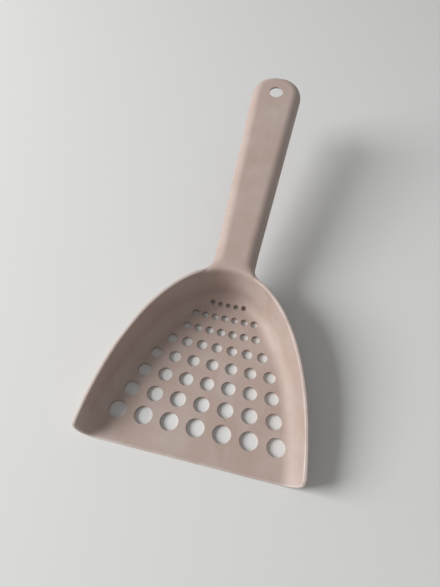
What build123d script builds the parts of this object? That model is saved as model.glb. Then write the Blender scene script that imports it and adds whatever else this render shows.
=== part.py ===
from build123d import *

import math
import os

# Sifting scoop, moulded in one shot: a wide pan with a pierced floor and a raised, channel-shaped handle.
# X runs across the pan, +Y from the lip towards the handle and Z up from the underside of the floor. Sizes
# are in millimetres and degrees. Y counts from the lip until the pieces are centred along their length.

# Pan
PAN_WIDTH = 143.0  # across the rims at the lip
PAN_DEPTH = 124.0  # from the lip to the back of the rim
PLAN_SETBACK = 27.0  # the pan's plan is half an ellipse, centred this far in front of the lip
RIM_FRONT = 18.4  # height of the rim at the lip
RIM_BACK = 36.2  # height of the rim at the handle
RIM_CORNER = 5.0  # rounding where the rim turns down to the lip
FLOOR_THICKNESS = 2.4
WALL_THICKNESS = 2.5
SIDE_FLARE = 10.0  # lean of the side walls
BACK_FLARE = 4.0  # lean of the back wall
FLOOR_FILLET = 10.0  # inside radius between the floor and the walls
FOOT_ROUNDING = 9.0  # outside radius under the edge of the floor
EDGE_ROUNDING = 0.8  # rounding of the rims and the lip

# Sifting holes: one number for each row, from the lip to the back
HOLES_PER_ROW = (7, 7, 7, 7, 7, 7, 7, 5)
SIDE_MARGINS = (11.9, 13.2, 13.5, 13.0, 15.0, 15.6, 10.8, 9.3)  # last hole's centre to the wall's foot
WEBS = (5.2, 5.2, 4.9, 4.7, 3.3, 2.2, 1.9, 2.1)  # plastic left between neighbouring holes
FRONT_MARGIN = 20.6  # from the lip to the first row
BACK_MARGIN = 7.2  # from the last row to the foot of the back wall
ROW_TIGHTENING = 0.05  # each gap between rows is shorter than the last by this share of the first

# Handle, measured along its slope from the back of the rim
HANDLE_LENGTH = 175.0
HANDLE_SLOPE = 11.3
HANDLE_DEPTH = 10.0  # height of the channel's sides
HANDLE_WALL = 1.6
HANDLE_ROUNDING = 8.0  # between the top and the sides
NECK_WIDTH = 30.0
END_WIDTH = 40.8
END_CORNER = 18.0  # rounding of the end, in plan
NECK_CURVE = 12.0  # radius of the hollow curve, in plan, from the neck out to the rim
NECK_SPREAD = 50.0  # how far round that curve runs before it meets the rim
NECK_OVERLAP = 5.0  # how far the neck starts inside the plan of the pan
NECK_SECTIONS = 5
HANG_HOLE_DIAMETER = 10.6
HANG_HOLE_MARGIN = 18.8  # from the end to the hole's centre
RIB_COUNT = 3
RIB_THICKNESS = 1.4
RIB_DEPTH = 5.5  # below the inside of the handle's top

# Where one named piece stops and the next one starts
LIP_LENGTH = 9.0
FOOT_MARGIN = 3.0  # the floor panel stops this far inside the wall's foot
BACK_WALL_MARGIN = 6.0  # the back wall runs this far past the neck's curve on each side
NECK_LENGTH = 16.0
END_LENGTH = 30.0

BEYOND = 20.0  # how far a cutting body runs past what it cuts

RIM_SLOPE = (RIM_BACK - RIM_FRONT) / PAN_DEPTH
BACK_LEAN = math.tan(math.radians(BACK_FLARE))
SIDE_LEAN = math.tan(math.radians(SIDE_FLARE))
HANDLE_TILT = math.radians(HANDLE_SLOPE)
HANDLE_RUN = HANDLE_LENGTH * math.cos(HANDLE_TILT) + HANDLE_DEPTH * math.sin(HANDLE_TILT)
OVERALL_LENGTH = PAN_DEPTH + HANDLE_RUN

HANDLE_PLANE = Plane(
    origin=(0, PAN_DEPTH, RIM_BACK),
    x_dir=(1, 0, 0),
    z_dir=Vector(0, 0, 1).rotate(Axis.X, HANDLE_SLOPE),
)


# Pan: its outline at every height is half an ellipse


def plan_axes(height, inset=0.0):
    """Half width and half depth of the pan's outer ellipse at a height, less an inset."""
    back_half_depth = PAN_DEPTH + PLAN_SETBACK
    half_depth = back_half_depth + (height - RIM_BACK) * BACK_LEAN
    lip_half_depth = back_half_depth + (RIM_FRONT - RIM_BACK) * BACK_LEAN
    lip_share = math.sqrt(1 - (PLAN_SETBACK / lip_half_depth) ** 2)
    half_width = PAN_WIDTH / 2 / lip_share + (height - RIM_FRONT) * SIDE_LEAN
    return half_width - inset, half_depth - inset


def foot_axes(margin=0.0):
    """Half axes of the line where floor and wall would meet inside the pan, less a margin."""
    return plan_axes(FLOOR_THICKNESS, WALL_THICKNESS + margin)


def half_ellipse(half_width, half_depth):
    """Back half of an ellipse about the plan's centre, closed across the front."""
    arc = EllipticalCenterArc((0, -PLAN_SETBACK), half_width, half_depth, arc_size=180)
    return make_face(arc + Line(arc @ 1, arc @ 0))


def tub(bottom, inset, radius):
    """Flared body with a rounded bottom edge, taller than the rim."""
    top = RIM_BACK + BEYOND
    low = Pos(0, 0, bottom) * half_ellipse(*plan_axes(bottom, inset))
    high = Pos(0, 0, top) * half_ellipse(*plan_axes(top, inset))
    body = loft([low, high], ruled=True)
    foot = body.edges().group_by(Axis.Z)[0].filter_by(GeomType.LINE, reverse=True)
    return fillet(foot, radius)


def outer_tub():
    """The space that the pan's outside fills."""
    return tub(0.0, 0.0, FOOT_ROUNDING)


def under_rim():
    """Everything under the sloping rim and behind the lip."""
    far = PAN_DEPTH + BEYOND
    lip_top = (0, RIM_FRONT)
    side = make_face(Polyline((0, -BEYOND), lip_top, (far, RIM_FRONT + far * RIM_SLOPE), (far, -BEYOND), close=True))
    corner = side.vertices().sort_by_distance(lip_top)[0]
    return extrude(Plane.YZ * fillet(corner, RIM_CORNER), PAN_WIDTH, both=True)


def pan_shell():
    """The whole pan without its holes, with the rim and the lip rounded."""
    shell = outer_tub() - tub(FLOOR_THICKNESS, WALL_THICKNESS, FLOOR_FILLET)
    shell &= under_rim()
    rim_top = shell.faces().sort_by(Axis.Z)[-1]
    lip_front = shell.faces().sort_by(Axis.Y)[0]
    return fillet(rim_top.edges() + lip_front.edges(), EDGE_ROUNDING)


def sifting_holes():
    """Upright cutters for the rows of holes, which get smaller and closer towards the back."""
    half_width, half_depth = foot_axes()
    gaps = [1 - ROW_TIGHTENING * row for row in range(len(HOLES_PER_ROW) - 1)]
    first_gap = (half_depth - PLAN_SETBACK - BACK_MARGIN - FRONT_MARGIN) / sum(gaps)
    cutters = []
    for row, (count, margin, web) in enumerate(zip(HOLES_PER_ROW, SIDE_MARGINS, WEBS)):
        y = FRONT_MARGIN + first_gap * sum(gaps[:row])
        foot = half_width * math.sqrt(1 - ((y + PLAN_SETBACK) / half_depth) ** 2)
        pitch = 2 * (foot - margin) / (count - 1)
        cutter = Cylinder((pitch - web) / 2, 2 * RIM_BACK)
        cutters += [Pos((i - (count - 1) / 2) * pitch, y, 0) * cutter for i in range(count)]
    return cutters


def block(x_range, y_range):
    """Upright box between two X and two Y values, taller than everything."""
    width = x_range[1] - x_range[0]
    length = y_range[1] - y_range[0]
    return Pos(sum(x_range) / 2, sum(y_range) / 2, 0) * Box(width, length, 2 * OVERALL_LENGTH)


def pan_pieces():
    """The pan divided into its lip, its pierced floor and its three walls."""
    pan = pan_shell()
    floor_area = extrude(Pos(0, 0, -BEYOND) * half_ellipse(*foot_axes(FOOT_MARGIN)), RIM_BACK + BEYOND)
    floor = pan & floor_area
    walls = pan - floor_area
    far_x = PAN_WIDTH
    far_y = PAN_DEPTH + BEYOND
    neck_reach = NECK_WIDTH / 2 + NECK_CURVE * (1 - math.cos(math.radians(NECK_SPREAD)))
    back_x = neck_reach + BACK_WALL_MARGIN
    back = block((-back_x, back_x), (LIP_LENGTH, far_y))
    sides = walls - back
    return {
        "front_lip": floor & block((-far_x, far_x), (-BEYOND, LIP_LENGTH)),
        "sifting_floor": (floor & block((-far_x, far_x), (LIP_LENGTH, far_y))) - sifting_holes(),
        "left_wall": sides & block((-far_x, 0), (-BEYOND, far_y)),
        "right_wall": sides & block((0, far_x), (-BEYOND, far_y)),
        "back_wall": walls & back,
    }


# Handle: an upturned channel, drawn in a plane that slopes up from the back of the rim


def neck_section(along, half_width, rounding, inset, depth):
    """Cross section of the neck: flat top, rounded shoulders and upright sides."""
    half_width -= inset
    left_foot = (-half_width, -depth)
    right_foot = (half_width, -depth)
    face = make_face(Polyline(left_foot, (-half_width, -inset), (half_width, -inset), right_foot, close=True))
    inner_rounding = rounding * (1 - inset / HANDLE_ROUNDING)
    face = fillet(face.vertices().group_by(Axis.Y)[-1], inner_rounding)
    across = Plane(origin=(0, along, 0), x_dir=(1, 0, 0), z_dir=(0, -1, 0))
    return HANDLE_PLANE * across * face


def neck_body(inset, depth):
    """Neck that spreads in a hollow curve to meet the rim, its shoulders sharpening on the way."""
    spread = math.radians(NECK_SPREAD)
    sections = []
    for i in range(NECK_SECTIONS):
        share = i / (NECK_SECTIONS - 1)
        angle = spread * (1 - share)
        along = NECK_CURVE * (math.sin(spread) - math.sin(angle)) - NECK_OVERLAP
        half_width = NECK_WIDTH / 2 + NECK_CURVE * (1 - math.cos(angle))
        rounding = EDGE_ROUNDING + (HANDLE_ROUNDING - EDGE_ROUNDING) * share
        sections.append(neck_section(along, half_width, rounding, inset, depth))
    sections.append(neck_section(NECK_LENGTH, NECK_WIDTH / 2, HANDLE_ROUNDING, inset, depth))
    return loft(sections) + extrude(sections[0], 2 * NECK_OVERLAP)


def grip_body(inset, depth):
    """Bar from the neck to the rounded end, with rounded top edges."""
    near = NECK_WIDTH / 2 - inset
    far = END_WIDTH / 2 - inset
    end = HANDLE_LENGTH - inset
    outline = make_face(Polyline((-near, NECK_LENGTH), (-far, end), (far, end), (near, NECK_LENGTH), close=True))
    outline = fillet(outline.vertices().group_by(Axis.Y)[-1], END_CORNER - inset)
    bar = extrude(Pos(0, 0, -depth) * outline, depth - inset)
    shoulders = bar.edges().group_by(Axis.Z)[-1].sort_by(Axis.Y)[1:]
    return HANDLE_PLANE * fillet(shoulders, HANDLE_ROUNDING - inset)


def across_handle(start, end):
    """Slab square to the handle between two distances along it."""
    size = 2 * OVERALL_LENGTH
    return HANDLE_PLANE * Pos(0, (start + end) / 2, 0) * Box(size, end - start, size)


def hang_hole():
    """Cutter square to the handle's top, near its end."""
    return HANDLE_PLANE * Pos(0, HANDLE_LENGTH - HANG_HOLE_MARGIN, 0) * Cylinder(HANG_HOLE_DIAMETER / 2, BEYOND)


def grip_ribs(hollow):
    """Low cross ribs under the grip, cut to the shape of its hollow."""
    end_start = HANDLE_LENGTH - END_LENGTH
    gap = (end_start - NECK_LENGTH) / (RIB_COUNT + 1)
    rib_centre = -HANDLE_WALL - RIB_DEPTH / 2
    ribs = []
    for i in range(RIB_COUNT):
        plate = Box(END_WIDTH, RIB_THICKNESS, RIB_DEPTH)
        ribs += (hollow & HANDLE_PLANE * Pos(0, NECK_LENGTH + gap * (i + 1), rib_centre) * plate).solids()
    return Compound(children=ribs)


def handle_pieces():
    """The handle divided into its neck, its grip, its end with the hang hole, and its ribs."""
    hollow_depth = HANDLE_DEPTH + BEYOND
    neck = neck_body(0.0, HANDLE_DEPTH) - neck_body(HANDLE_WALL, hollow_depth) - outer_tub()
    hollow = grip_body(HANDLE_WALL, hollow_depth)
    bar = grip_body(0.0, HANDLE_DEPTH) - hollow
    end = across_handle(HANDLE_LENGTH - END_LENGTH, HANDLE_LENGTH + BEYOND)
    return {
        "handle_neck": neck,
        "handle_grip": bar - end,
        "handle_end": (bar & end) - hang_hole(),
        "grip_ribs": grip_ribs(hollow),
    }


def main():
    os.makedirs("parts", exist_ok=True)
    centred = Pos(0, -OVERALL_LENGTH / 2, 0)
    for name, shape in {**pan_pieces(), **handle_pieces()}.items():
        export_step(centred * shape, f"parts/{name}.step")
        print(name, len(shape.solids()), round(shape.volume, 1))


if __name__ == "__main__":
    main()
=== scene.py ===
import logging
import math
from dataclasses import dataclass, field
from enum import Enum
from typing import Any, Callable, Union

import bmesh
import bpy
from mathutils import Matrix, Vector


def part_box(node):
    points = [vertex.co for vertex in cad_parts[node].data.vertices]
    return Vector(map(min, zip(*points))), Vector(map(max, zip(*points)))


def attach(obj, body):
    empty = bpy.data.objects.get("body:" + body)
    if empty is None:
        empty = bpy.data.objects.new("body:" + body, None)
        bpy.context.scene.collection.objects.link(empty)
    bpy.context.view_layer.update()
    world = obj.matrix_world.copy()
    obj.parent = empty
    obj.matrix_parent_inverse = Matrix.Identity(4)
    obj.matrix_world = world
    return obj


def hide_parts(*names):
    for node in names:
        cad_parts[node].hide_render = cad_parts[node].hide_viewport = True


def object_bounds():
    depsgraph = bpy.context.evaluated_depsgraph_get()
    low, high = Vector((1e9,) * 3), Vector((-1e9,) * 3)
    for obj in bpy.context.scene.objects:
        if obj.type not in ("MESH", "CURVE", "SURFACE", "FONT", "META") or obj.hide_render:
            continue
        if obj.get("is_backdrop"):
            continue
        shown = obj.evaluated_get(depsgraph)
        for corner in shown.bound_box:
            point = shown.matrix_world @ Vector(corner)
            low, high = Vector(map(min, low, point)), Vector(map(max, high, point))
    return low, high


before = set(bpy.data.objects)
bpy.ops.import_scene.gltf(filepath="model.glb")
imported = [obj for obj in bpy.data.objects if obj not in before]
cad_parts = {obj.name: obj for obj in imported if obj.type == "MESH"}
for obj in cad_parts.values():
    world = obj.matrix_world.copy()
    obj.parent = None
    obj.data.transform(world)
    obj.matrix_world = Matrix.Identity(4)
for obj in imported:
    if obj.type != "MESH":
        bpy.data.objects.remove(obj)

LOG = logging.getLogger("sifting_scoop")

Colour = tuple[float, float, float]


class Region(Enum):
    """The named regions of the moulding."""

    FRONT_LIP = "front_lip"
    SIFTING_FLOOR = "sifting_floor"
    LEFT_WALL = "left_wall"
    RIGHT_WALL = "right_wall"
    BACK_WALL = "back_wall"
    HANDLE_NECK = "handle_neck"
    HANDLE_GRIP = "handle_grip"
    HANDLE_END = "handle_end"
    GRIP_RIBS = "grip_ribs"


@dataclass(frozen=True)
class Rim:
    """The middle of the rim: half an ellipse seen from above, which rises from the lip to the back.

    Sizes are in metres. Lengths along the scoop count from the lip.
    """

    centre: float = -0.027
    half_width: float = 0.0744
    half_depth: float = 0.1497
    front_height: float = 0.0184
    slope: float = 0.1435

    def distance(self, x: float, from_lip: float, height: float) -> float:
        """How far a point is from the middle of the rim, square to it.

        Args:
            x: The point's place across the scoop.
            from_lip: Its distance behind the lip.
            height: Its height.

        Returns:
            The distance.
        """
        share = math.sqrt(max(0.0, 1.0 - (x / self.half_width) ** 2))
        across = from_lip - (self.centre + self.half_depth * share)
        above = height - (self.front_height + from_lip * self.slope)
        return math.hypot(across, above)


# ---------------------------------------------------------------- shader maths


class Nodes:
    """The node tree of a material or world, with one method that makes any node."""

    MIX_FACTOR, MIX_FIRST, MIX_SECOND, MIX_COLOUR = 0, 6, 7, 2

    def __init__(self, owner: Union[bpy.types.Material, bpy.types.World]) -> None:
        """Empties the owner's node tree.

        Args:
            owner: The material or world whose nodes are written.
        """
        owner.use_nodes = True
        self.tree = owner.node_tree
        self.tree.nodes.clear()

    def make(self, kind: str, settings: dict[str, Any], inputs: dict[Any, Any], out: Any = 0) -> "Wire":
        """Adds a node, sets it up and fills its sockets.

        Args:
            kind: The node's type name.
            settings: Properties set before the sockets.
            inputs: Values or wires by socket name or index.
            out: Name or index of the output that is wanted.

        Returns:
            The wanted output as a wire.
        """
        return Wire(self, self._add(kind, settings, inputs).outputs[out])

    def finish(self, shader: "Wire", kind: str = "ShaderNodeOutputMaterial") -> None:
        """Links a shader to a new output node."""
        self._add(kind, {}, {"Surface": shader})

    def tint(self, factor: "Wire", first: Any, second: Any) -> "Wire":
        """Blends two colours by a factor.

        Args:
            factor: How much of the second colour shows.
            first: Colour or wire at factor 0.
            second: Colour or wire at factor 1.

        Returns:
            The blended colour.
        """
        settings = {"data_type": "RGBA", "blend_type": "MIX", "clamp_factor": True}
        inputs = {self.MIX_FACTOR: factor, self.MIX_FIRST: first, self.MIX_SECOND: second}
        return self.make("ShaderNodeMix", settings, inputs, self.MIX_COLOUR)

    def _add(self, kind: str, settings: dict[str, Any], inputs: dict[Any, Any]) -> bpy.types.Node:
        """Adds a node and fills it.

        Args:
            kind: The node's type name.
            settings: Properties set before the sockets.
            inputs: Values or wires by socket name or index.

        Returns:
            The node.
        """
        node = self.tree.nodes.new(kind)
        for key, value in settings.items():
            setattr(node, key, value)
        for key, value in inputs.items():
            if isinstance(value, Wire):
                self.tree.links.new(value.socket, node.inputs[key])
            else:
                node.inputs[key].default_value = value
        return node


class Wire:
    """A socket that carries a value, with the usual operators."""

    def __init__(self, nodes: Nodes, socket: bpy.types.NodeSocket) -> None:
        """Keeps the tree and the socket."""
        self.nodes = nodes
        self.socket = socket

    def __add__(self, other: Union["Wire", float]) -> "Wire":
        """self + other."""
        return self._math("ADD", self, other)

    __radd__ = __add__

    def __mul__(self, other: Union["Wire", float]) -> "Wire":
        """self * other."""
        return self._math("MULTIPLY", self, other)

    __rmul__ = __mul__

    def __sub__(self, other: Union["Wire", float]) -> "Wire":
        """self - other."""
        return self._math("SUBTRACT", self, other)

    def __rsub__(self, other: Union["Wire", float]) -> "Wire":
        """other - self."""
        return self._math("SUBTRACT", other, self)

    def ramp(self, low: float, high: float) -> "Wire":
        """0 below low, 1 above high, smooth between."""
        settings = {"interpolation_type": "SMOOTHSTEP", "clamp": True}
        inputs = {"Value": self, "From Min": low, "From Max": high, "To Min": 0.0, "To Max": 1.0}
        return self.nodes.make("ShaderNodeMapRange", settings, inputs)

    def _math(self, operation: str, *values: Union["Wire", float]) -> "Wire":
        """Adds a Math node.

        Args:
            operation: The node's operation.
            values: Its operands in order.

        Returns:
            The node's value.
        """
        return self.nodes.make("ShaderNodeMath", {"operation": operation}, dict(enumerate(values)))


def opaque(colour: Colour) -> tuple[float, float, float, float]:
    """The colour with an alpha of 1."""
    return (*colour, 1.0)


# ---------------------------------------------------------------- finishes


@dataclass(frozen=True)
class Pattern:
    """A noise on the surface, drawn out along the scoop where its stretch is over 1."""

    scale: float
    detail: float
    roughness: float
    stretch: float = 1.0

    def wire(self, nodes: Nodes, place: Wire) -> Wire:
        """Adds the noise.

        Args:
            nodes: The material's nodes.
            place: Object coordinates.

        Returns:
            The noise, a value around a half.
        """
        if self.stretch != 1.0:
            squeezed = (1.0, 1.0 / self.stretch, 1.0)
            place = nodes.make("ShaderNodeMapping", {}, {"Vector": place, "Scale": squeezed})
        inputs = {"Vector": place, "Scale": self.scale, "Detail": self.detail, "Roughness": self.roughness}
        return nodes.make("ShaderNodeTexNoise", {}, inputs)


@dataclass(frozen=True)
class Layer:
    """A colour laid over the plastic, with the values at which its pattern starts and is full."""

    colour: Colour
    starts: float
    full: float
    strength: float

    def span(self, pattern: Wire) -> Wire:
        """How full the pattern is, from 0 to 1."""
        return pattern.ramp(self.starts, self.full)

    def over(self, nodes: Nodes, below: Any, shows: Wire) -> Wire:
        """Lays the colour over another.

        Args:
            nodes: The material's nodes.
            below: The colour underneath.
            shows: Where this one shows, from 0 to 1.

        Returns:
            The new colour.
        """
        return nodes.tint(shows * self.strength, below, opaque(self.colour))


@dataclass(frozen=True)
class MouldedPlastic:
    """Matte beige plastic with flow marks, fine grain, scuffs and a few dark specks."""

    lip: float
    rim: Rim = Rim()
    colour: Colour = (0.425, 0.328, 0.286)
    dust: Layer = Layer((0.475, 0.395, 0.360), 0.38, 0.68, 0.60)
    stain: Layer = Layer((0.335, 0.225, 0.175), 0.48, 0.74, 0.30)
    scuff: Layer = Layer((0.475, 0.395, 0.360), 0.62, 0.76, 0.16)
    speck: Layer = Layer((0.12, 0.075, 0.05), 0.022, 0.055, 0.75)
    # Lighter edge colour: partly edge wear, partly a painted highlight along the rim top and the lip
    # front.
    wear_and_highlight: Layer = Layer((0.560, 0.480, 0.440), 0.30, 0.62, 0.60)
    wear_and_highlight_least: float = 0.25
    mottle_noise: Pattern = Pattern(42.0, 4.0, 0.60)
    flow_noise: Pattern = Pattern(60.0, 3.0, 0.55, stretch=3.0)
    grain_noise: Pattern = Pattern(900.0, 2.0, 0.50)
    scuff_noise: Pattern = Pattern(420.0, 2.0, 0.50, stretch=6.0)
    speck_noise: Pattern = Pattern(31.0, 1.0, 0.50)
    speck_chosen: tuple[float, float] = (0.50, 0.56)
    speck_cells: float = 95.0
    smoothest: float = 0.50
    mottle_roughness: float = 0.10
    grain_roughness: float = 0.06
    worn_polish: float = 0.10
    grain_relief: float = 0.55
    flow_relief: float = 0.30
    mottle_relief: float = 0.25
    scuff_relief: float = -0.10
    relief_strength: float = 0.30
    relief_depth: float = 0.0004
    refraction: float = 1.48
    # Where the edge wear and the painted highlight lie along the rim and the lip.
    rim_wear_and_highlight_band: tuple[float, float] = (0.0003, 0.0013)
    rim_wear_and_highlight_end: float = 0.1200
    rim_wear_and_highlight_fade: float = 0.006
    lip_wear_and_highlight_band: tuple[float, float] = (0.0003, 0.0014)

    def material(self) -> bpy.types.Material:
        """Builds the material.

        Returns:
            The finished material.
        """
        made = bpy.data.materials.new("moulded_beige_plastic")
        nodes = Nodes(made)
        place = nodes.make("ShaderNodeTexCoord", {}, {}, "Object")
        mottle = self.mottle_noise.wire(nodes, place)
        flow = self.flow_noise.wire(nodes, place)
        grain = self.grain_noise.wire(nodes, place)
        scuffed = self.scuff.span(self.scuff_noise.wire(nodes, place))
        # Mask of the rim top and lip front, for edge wear and a painted highlight, broken up by the
        # mottle.
        wear_and_highlight_mask = self._edges(nodes, place) * (self.wear_and_highlight.span(mottle) * self.wear_and_highlight.strength + self.wear_and_highlight_least)

        colour = self.dust.over(nodes, opaque(self.colour), self.dust.span(mottle))
        colour = self.stain.over(nodes, colour, self.stain.span(flow))
        colour = self.scuff.over(nodes, colour, scuffed)
        colour = self.speck.over(nodes, colour, self._specks(nodes, place))
        # Lays on the lighter edge colour: wear plus a painted highlight on the rim top and lip front.
        colour = nodes.tint(wear_and_highlight_mask, colour, opaque(self.wear_and_highlight.colour))

        rough = mottle * self.mottle_roughness + grain * self.grain_roughness
        rough = rough - wear_and_highlight_mask * self.worn_polish + self.smoothest

        height = grain * self.grain_relief + flow * self.flow_relief
        height = height + mottle * self.mottle_relief + scuffed * self.scuff_relief
        relief = {"Strength": self.relief_strength, "Distance": self.relief_depth, "Height": height}
        bump = nodes.make("ShaderNodeBump", {}, relief, "Normal")

        inputs = {"Base Color": colour, "Roughness": rough, "Normal": bump, "IOR": self.refraction}
        nodes.finish(nodes.make("ShaderNodeBsdfPrincipled", {}, inputs))
        return made

    def _specks(self, nodes: Nodes, place: Wire) -> Wire:
        """Scatters small specks, in a few places only.

        Args:
            nodes: The material's nodes.
            place: Object coordinates.

        Returns:
            1 in a speck, 0 outside it.
        """
        inputs = {"Vector": place, "Scale": self.speck_cells}
        cells = nodes.make("ShaderNodeTexVoronoi", {"feature": "F1"}, inputs, "Distance")
        chosen = self.speck_noise.wire(nodes, place).ramp(*self.speck_chosen)
        return (1.0 - self.speck.span(cells)) * chosen

    def _edges(self, nodes: Nodes, place: Wire) -> Wire:
        """Marks the top of the rim and the front of the lip, where edge wear and a painted highlight are
        laid on.

        Args:
            nodes: The material's nodes.
            place: Object coordinates.

        Returns:
            1 on an edge that gets wear and the painted highlight, 0 away from it.
        """
        past_lip = nodes.make("ShaderNodeSeparateXYZ", {}, {"Vector": place}, "Y") - self.lip
        height = nodes.make("ShaderNodeSeparateXYZ", {}, {"Vector": place}, "Z")
        under_rim = past_lip * self.rim.slope + self.rim.front_height - height
        fading = past_lip.ramp(self.rim_wear_and_highlight_end - self.rim_wear_and_highlight_fade, self.rim_wear_and_highlight_end)
        rim = (1.0 - under_rim.ramp(*self.rim_wear_and_highlight_band)) * (1.0 - fading)
        return rim + (1.0 - past_lip.ramp(*self.lip_wear_and_highlight_band))


@dataclass(frozen=True)
class StudioFloor:
    """Plain pale matte surface."""

    colour: Colour = (0.70, 0.70, 0.69)
    roughness: float = 0.9

    def material(self) -> bpy.types.Material:
        """Builds the material, with constants on the shader's own sockets.

        Returns:
            The finished material.
        """
        made = bpy.data.materials.new("pale_floor")
        nodes = Nodes(made)
        inputs = {"Base Color": opaque(self.colour), "Roughness": self.roughness}
        nodes.finish(nodes.make("ShaderNodeBsdfPrincipled", {}, inputs))
        return made


# ---------------------------------------------------------------- studio


@dataclass
class Studio:
    """Floor, lights and camera."""

    camera_from_lip: tuple[float, float, float] = (0.0357, -0.05006, 0.2889)
    camera_right: tuple[float, float, float] = (0.9710, 0.2388, -0.0071)
    camera_ahead: tuple[float, float, float] = (-0.1312, 0.5084, -0.8511)
    lens: float = 27.6
    sensor: float = 36.0
    nearest: float = 0.01
    floor_size: float = 6.0
    floor_gap: float = 0.00005
    key_place: tuple[float, float, float] = (-1.80, -0.55, 1.20)
    key_size: float = 1.1
    key_power: float = 58.0
    fill_colour: Colour = (1.0, 1.0, 1.0)
    fill: float = 0.30
    backdrop: float = 0.72

    def build(self) -> None:
        """Builds the whole studio."""
        self._floor()
        self._key()
        self._world()
        self._camera()
        bpy.context.scene.view_settings.view_transform = "Standard"

    def _floor(self) -> None:
        """Lays the floor just under the object."""
        bm = bmesh.new()
        bmesh.ops.create_grid(bm, x_segments=1, y_segments=1, size=self.floor_size / 2)
        bmesh.ops.translate(bm, verts=bm.verts, vec=(0.0, 0.0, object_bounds()[0].z - self.floor_gap))
        floor = object_from(bm, "studio_floor")
        floor.data.materials.append(StudioFloor().material())
        floor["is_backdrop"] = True

    def _key(self) -> None:
        """Hangs the soft lamp on the left and aims it at the object."""
        lamp = bpy.data.lights.new("key_light", "AREA")
        lamp.shape = "SQUARE"
        lamp.size = self.key_size
        lamp.energy = self.key_power
        holder = bpy.data.objects.new("key_light", lamp)
        bpy.context.scene.collection.objects.link(holder)
        holder.location = self.key_place
        holder.rotation_euler = (-Vector(self.key_place)).to_track_quat("-Z", "Y").to_euler()

    def _world(self) -> None:
        """Fills the studio with even light, in front of a pale backdrop."""
        world = bpy.data.worlds.new("studio_fill")
        bpy.context.scene.world = world
        nodes = Nodes(world)
        rays = ("Is Camera Ray", "Is Glossy Ray", "Is Transmission Ray")
        camera, glossy, through = (nodes.make("ShaderNodeLightPath", {}, {}, ray) for ray in rays)
        strength = (camera + glossy + through) * (self.backdrop - self.fill) + self.fill
        inputs = {"Color": opaque(self.fill_colour), "Strength": strength}
        nodes.finish(nodes.make("ShaderNodeBackground", {}, inputs), "ShaderNodeOutputWorld")

    def _camera(self) -> None:
        """Sets the camera up in front of the lip, turned a little to the side."""
        data = bpy.data.cameras.new("camera")
        data.lens = self.lens
        data.sensor_width = self.sensor
        data.clip_start = self.nearest
        camera = bpy.data.objects.new("camera", data)
        bpy.context.scene.collection.objects.link(camera)
        ahead = Vector(self.camera_ahead).normalized()
        right = Vector(self.camera_right)
        right = (right - ahead * right.dot(ahead)).normalized()
        turn = Matrix((right, right.cross(ahead), -ahead)).transposed()
        place = Vector((0.0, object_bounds()[0].y, 0.0)) + Vector(self.camera_from_lip)
        camera.matrix_world = Matrix.Translation(place) @ turn.to_4x4()
        bpy.context.scene.camera = camera


# ---------------------------------------------------------------- solids


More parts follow.
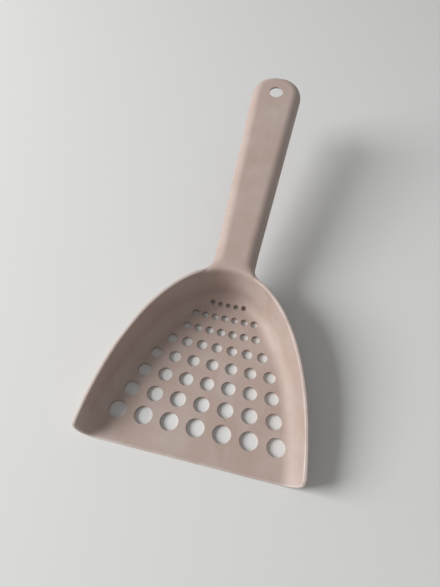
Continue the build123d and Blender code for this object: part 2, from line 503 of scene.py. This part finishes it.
class Solid:
    """A closed bmesh that planes can crop and that others can be added to."""

    JOIN_DISTANCE = 0.000002
    PLANE_TOLERANCE = 1e-7
    SMOOTH_FACTOR = 0.5

    def __init__(self, bm: bmesh.types.BMesh) -> None:
        """Keeps the bmesh."""
        self.bm = bm

    @classmethod
    def of_region(cls, region: Region) -> "Solid":
        """Copies a CAD node, joins up its loose triangles and drops its stored normals.

        Args:
            region: The region whose node is copied.

        Returns:
            The copy.
        """
        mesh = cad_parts[region.value].data.copy()
        stored = mesh.attributes.get("custom_normal")
        if stored is not None:
            mesh.attributes.remove(stored)
        bm = bmesh.new()
        bm.from_mesh(mesh)
        bpy.data.meshes.remove(mesh)
        bmesh.ops.remove_doubles(bm, verts=bm.verts, dist=cls.JOIN_DISTANCE)
        return cls(bm)

    def copy(self) -> "Solid":
        """A copy of the solid."""
        return Solid(self.bm.copy())

    def keep(self, point: Vector, towards: Vector) -> None:
        """Cuts the solid by a plane, keeps the side that the direction points to and closes the cut.

        Args:
            point: A point on the plane.
            towards: The plane's normal, into the part that stays.
        """
        cut = bmesh.ops.bisect_plane(
            self.bm,
            geom=self.bm.verts[:] + self.bm.edges[:] + self.bm.faces[:],
            dist=self.PLANE_TOLERANCE,
            plane_co=point,
            plane_no=towards,
            clear_inner=True,
            clear_outer=False,
        )
        edges = [e for e in cut["geom_cut"] if isinstance(e, bmesh.types.BMEdge) and e.is_boundary]
        if edges:
            bmesh.ops.triangle_fill(self.bm, edges=edges, use_beauty=True, normal=-towards)

    def keep_between(self, half_width: float) -> None:
        """Keeps what lies between two upright planes at a distance from the middle."""
        for side in (-1.0, 1.0):
            self.keep(Vector((side * half_width, 0.0, 0.0)), Vector((-side, 0.0, 0.0)))

    def add(self, other: "Solid") -> None:
        """Adds another solid to this one and frees it."""
        mesh = bpy.data.meshes.new("passing")
        other.bm.to_mesh(mesh)
        other.bm.free()
        self.bm.from_mesh(mesh)
        bpy.data.meshes.remove(mesh)

    def fused(self, voxel: float) -> "Solid":
        """Turns overlapping parts into one skin.

        Args:
            voxel: Size of the cells of the skin.

        Returns:
            The skin. This solid is freed.
        """
        holder = object_from(self.bm, "neck_blank")
        remesh = holder.modifiers.new("fuse", "REMESH")
        remesh.mode = "VOXEL"
        remesh.voxel_size = voxel
        skin = bmesh.new()
        skin.from_object(holder, bpy.context.evaluated_depsgraph_get())
        mesh = holder.data
        bpy.data.objects.remove(holder)
        bpy.data.meshes.remove(mesh)
        return Solid(skin)

    def relax(self, verts: list[bmesh.types.BMVert], turns: int) -> None:
        """Smooths some of the points a number of times.

        Args:
            verts: The points.
            turns: How many times.
        """
        axes = {"use_axis_x": True, "use_axis_y": True, "use_axis_z": True}
        for _ in range(turns):
            bmesh.ops.smooth_vert(self.bm, verts=verts, factor=self.SMOOTH_FACTOR, **axes)

    def piece(self, name: str, crisp_angle: float) -> bpy.types.Object:
        """Makes the visible piece, with crisp shading at its steep edges and even shading elsewhere.

        Args:
            name: The object's name.
            crisp_angle: Edges steeper than this many degrees stay crisp.

        Returns:
            The new object. This solid is freed.
        """
        for face in self.bm.faces:
            face.smooth = True
        made = object_from(self.bm, name)
        made.data.set_sharp_from_angle(angle=math.radians(crisp_angle))
        even = made.modifiers.new("even_shading", "WEIGHTED_NORMAL")
        even.mode = "FACE_AREA"
        even.keep_sharp = True
        return made


def object_from(bm: bmesh.types.BMesh, name: str) -> bpy.types.Object:
    """Turns a bmesh into an object at the origin.

    Args:
        bm: The finished bmesh, freed here.
        name: The object's name.

    Returns:
        The new object, in the scene.
    """
    mesh = bpy.data.meshes.new(name)
    bm.to_mesh(mesh)
    bm.free()
    made = bpy.data.objects.new(name, mesh)
    bpy.context.scene.collection.objects.link(made)
    return made


# ---------------------------------------------------------------- the scoop's regions


@dataclass
class CadRegion:
    """A region that keeps its CAD shape."""

    region: Region

    def dress(self, plastic: bpy.types.Material) -> None:
        """Puts the plastic on every slot of the node."""
        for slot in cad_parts[self.region.value].material_slots:
            slot.material = plastic
        LOG.info("dressed %s", self.region.value)


@dataclass
class NeckBlend:
    """The back wall, which rolls over its rim and runs on into the handle's neck without a step.

    Sizes are in metres and angles in degrees. Lengths along the scoop count from the lip.
    """

    lip: float
    rim: Rim = Rim()
    joint_from_lip: float = 0.1265
    lower_cut: float = 0.0215
    crisp_angle: float = 40.0
    handle_slope: float = 11.3
    slice_length: float = 0.0010
    run_length: float = 0.0122
    run_overlap: float = 0.0004
    blank_into_grip: float = 0.009
    blank_from_lip: float = 0.095
    blank_half_width: float = 0.034
    blank_below_cut: float = 0.006
    voxel: float = 0.00033
    polish: int = 3
    roll_steps: tuple[tuple[float, int], ...] = ((0.0095, 40), (0.0078, 56), (0.0062, 75), (0.0048, 75))
    roll_half_width: float = 0.0125
    roll_fade: float = 0.0075
    shoulder_reach: float = 0.0034
    shoulder_turns: int = 40
    shoulder_span: tuple[float, float] = (0.0150, 0.0245)
    sources: tuple[Region, ...] = (
        Region.LEFT_WALL,
        Region.RIGHT_WALL,
        Region.BACK_WALL,
        Region.HANDLE_NECK,
        Region.HANDLE_GRIP,
    )
    made: dict[Region, bpy.types.Object] = field(init=False, default_factory=dict)

    def build(self) -> None:
        """Builds the back wall and the neck, cut apart where the neck leaves the wall."""
        joint = Vector((0.0, self.lip + self.joint_from_lip, 0.0))
        neck = self._skin()
        wall = neck.copy()
        wall.keep(joint, Vector((0.0, -1.0, 0.0)))
        wall.keep_between(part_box(Region.BACK_WALL.value)[1].x)
        wall.keep(Vector((0.0, 0.0, self.lower_cut)), Vector((0.0, 0.0, 1.0)))
        lower = Solid.of_region(Region.BACK_WALL)
        lower.keep(Vector((0.0, 0.0, self.lower_cut)), Vector((0.0, 0.0, -1.0)))
        wall.add(lower)
        neck.keep(joint, Vector((0.0, 1.0, 0.0)))
        neck.keep(*self._grip_start())
        for solid, region in ((wall, Region.BACK_WALL), (neck, Region.HANDLE_NECK)):
            self.made[region] = solid.piece(region.value + "_moulded", self.crisp_angle)
            LOG.info("built %s", self.made[region].name)

    def dress(self, plastic: bpy.types.Material) -> None:
        """Gives both pieces the plastic, and puts them in place of their CAD nodes.

        Args:
            plastic: The material of both.
        """
        for region, piece in self.made.items():
            piece.data.materials.append(plastic)
            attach(piece, "root")
            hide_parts(region.value)

    def _along(self) -> Vector:
        """The direction along the handle, away from the pan."""
        slope = math.radians(self.handle_slope)
        return Vector((0.0, math.cos(slope), math.sin(slope)))

    def _grip_start(self) -> tuple[Vector, Vector]:
        """The plane where the grip starts, facing back to the neck."""
        along = self._along()
        points = (v.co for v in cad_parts[Region.HANDLE_GRIP.value].data.vertices)
        first = min(points, key=lambda co: co.dot(along))
        return first.copy(), -along

    def _neck_run(self) -> Solid:
        """The straight run of the neck: the first slice of the grip, drawn out backwards.

        Returns:
            The run as a closed solid, touching the grip.
        """
        along = self._along()
        start, back = self._grip_start()
        run = Solid.of_region(Region.HANDLE_GRIP)
        run.keep(start + along * self.slice_length, back)
        stretch = self.run_length / self.slice_length
        for vert in run.bm.verts:
            depth = (vert.co - start).dot(along)
            vert.co += along * (depth * (stretch - 1.0) - self.run_length)
        return run

    def _skin(self) -> Solid:
        """Walls, neck and the start of the grip in one skin, with the roll over the rim worked in.

        Returns:
            The smooth closed skin.
        """
        start, back = self._grip_start()
        blank = self._neck_run()
        for region in self.sources:
            part = Solid.of_region(region)
            if region is Region.HANDLE_NECK:
                part.keep(start + back * (self.run_length - self.run_overlap), back)
            part.keep(start - back * self.blank_into_grip, back)
            part.keep(Vector((0.0, self.lip + self.blank_from_lip, 0.0)), Vector((0.0, 1.0, 0.0)))
            part.keep_between(self.blank_half_width)
            part.keep(Vector((0.0, 0.0, self.lower_cut - self.blank_below_cut)), Vector((0.0, 0.0, 1.0)))
            blank.add(part)
        skin = blank.fused(self.voxel)
        skin.relax(skin.bm.verts[:], self.polish)
        for reach, turns in self.roll_steps:
            self._soften(skin, reach, turns, self._roll_share)
        self._soften(skin, self.shoulder_reach, self.shoulder_turns, self._shoulder_share)
        return skin

    def _soften(self, skin: Solid, reach: float, turns: int, share: Callable[[float], float]) -> None:
        """Smooths the points near the rim.

        Args:
            skin: The skin.
            reach: Distance from the rim within which points are smoothed.
            turns: How many times.
            share: The part of the reach that is left at a place across the scoop.
        """
        near = [
            v
            for v in skin.bm.verts
            if self.rim.distance(v.co.x, v.co.y - self.lip, v.co.z) < reach * share(v.co.x)
        ]
        skin.relax(near, turns)

    def _roll_share(self, x: float) -> float:
        """How much of the roll is left at a distance from the middle, from 1 down to 0."""
        beyond = (abs(x) - self.roll_half_width) / self.roll_fade
        return 1.0 - min(max(beyond, 0.0), 1.0) ** 2

    def _shoulder_share(self, x: float) -> float:
        """How much of the shoulder's softening there is at a distance from the middle."""
        first, last = self.shoulder_span
        if not first < abs(x) < last:
            return 0.0
        return 1.0 - ((abs(x) - first) / (last - first)) ** 2


def main() -> None:
    """Builds the scoop and the studio around it."""
    logging.basicConfig(level=logging.INFO, format="%(message)s")
    cad_box = [list(corner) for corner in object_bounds()]
    lip = cad_box[0][1]
    plastic = MouldedPlastic(lip).material()
    blend = NeckBlend(lip)
    blend.build()
    blend.dress(plastic)
    for region in Region:
        CadRegion(region).dress(plastic)
    Studio().build()


if __name__ == "__main__":
    main()
